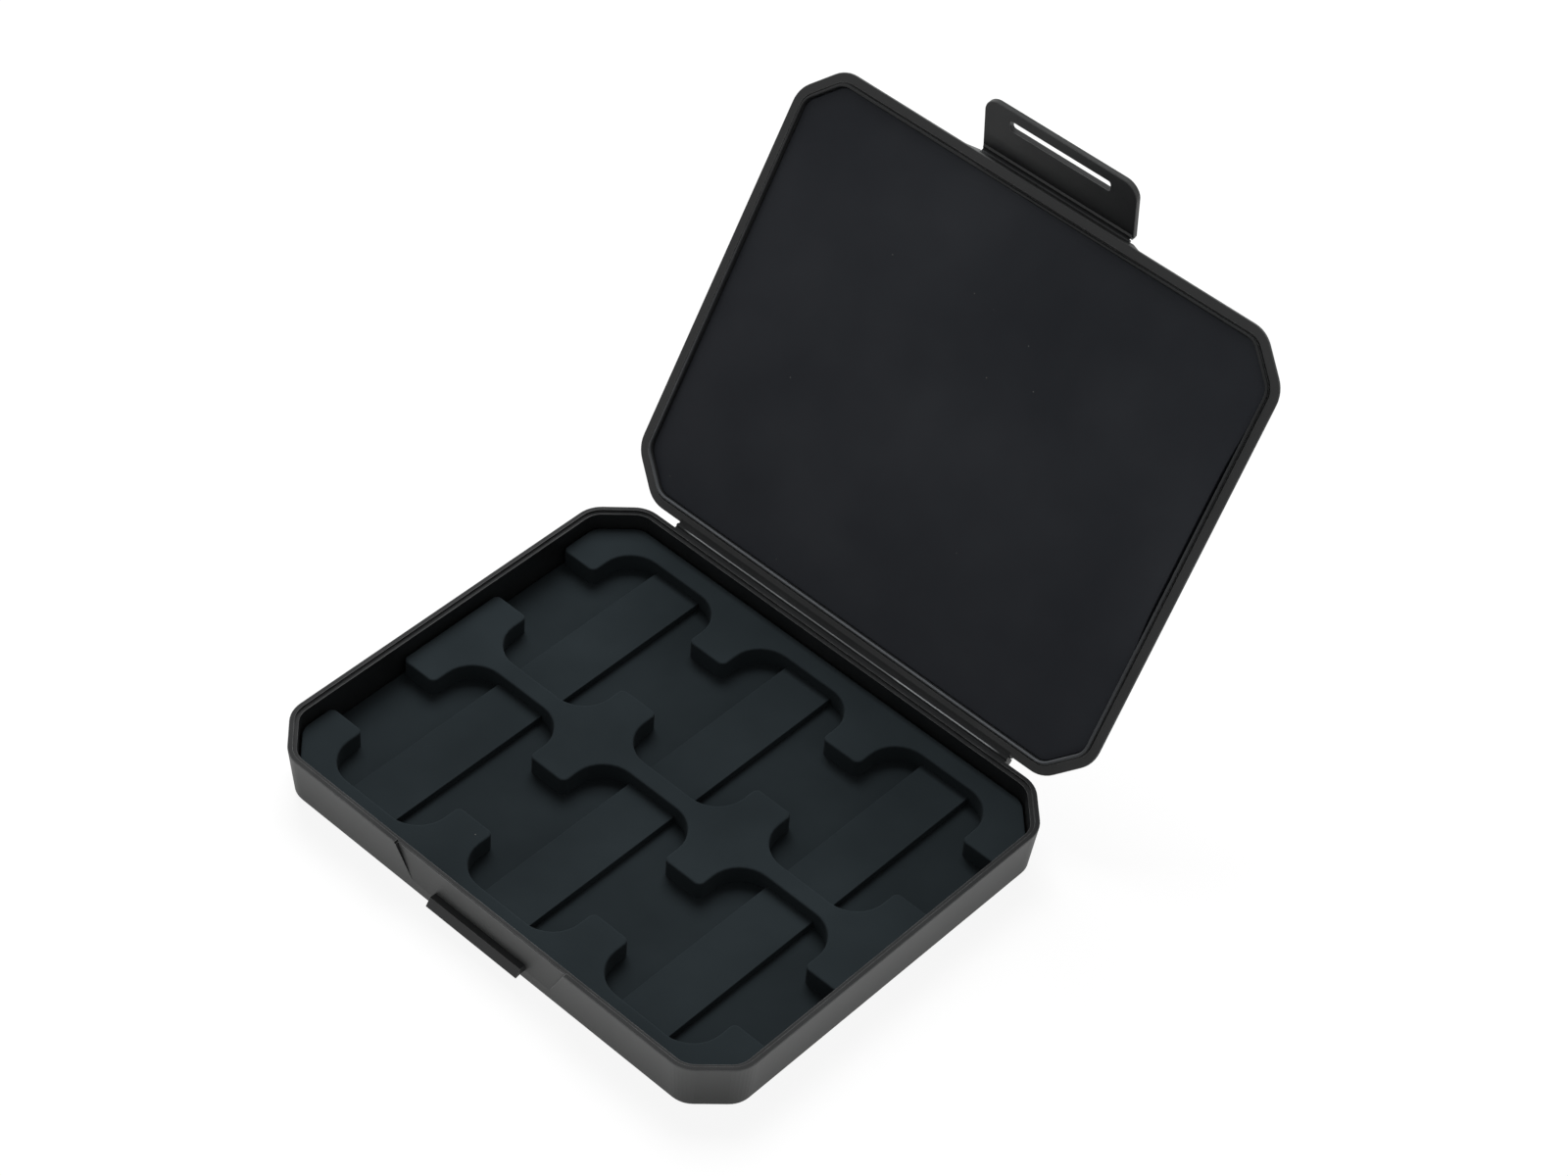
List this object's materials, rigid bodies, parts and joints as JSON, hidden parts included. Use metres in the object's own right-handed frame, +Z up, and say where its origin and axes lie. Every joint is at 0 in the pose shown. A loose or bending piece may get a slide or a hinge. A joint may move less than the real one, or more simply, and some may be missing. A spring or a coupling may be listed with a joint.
{
  "type": "lens filter case",
  "caption": "Slim hard case with a hinged lid and a slotted snap latch, holding square camera filters in a soft pocketed tray.",
  "frame": {"origin": "centre of the flat underside of the base", "axes": "+X along the hinge, -Y towards the latch side of the base, +Z up out of the base"},
  "size_m": [0.11, 0.1402, 0.0995],
  "materials": {
    "shell": "fine matt texture",
    "tray": "soft matt",
    "liner": "soft matt",
    "film": "thin bonding film"
  },
  "bodies": {
    "base": {"base_shell": "shell", "filter_tray": "tray", "tray_film": "film"},
    "lid": {"lid_shell": "shell", "lid_liner": "liner", "liner_film": "film"},
    "latch": {"latch": "shell"}
  },
  "joints": [
    {"name": "lid_hinge", "type": "hinge", "parent": "base", "child": "lid", "pos_m": [0, 0.04525, 0.01065], "axis": [-1, 0, 0], "range_deg": [-120.5, 0]},
    {"name": "latch_hinge", "type": "hinge", "parent": "lid", "child": "latch", "pos_m": [0, 0.09258, 0.08716], "axis": [-1, 0, 0], "range_deg": [-54.3, 70.7]}
  ]
}
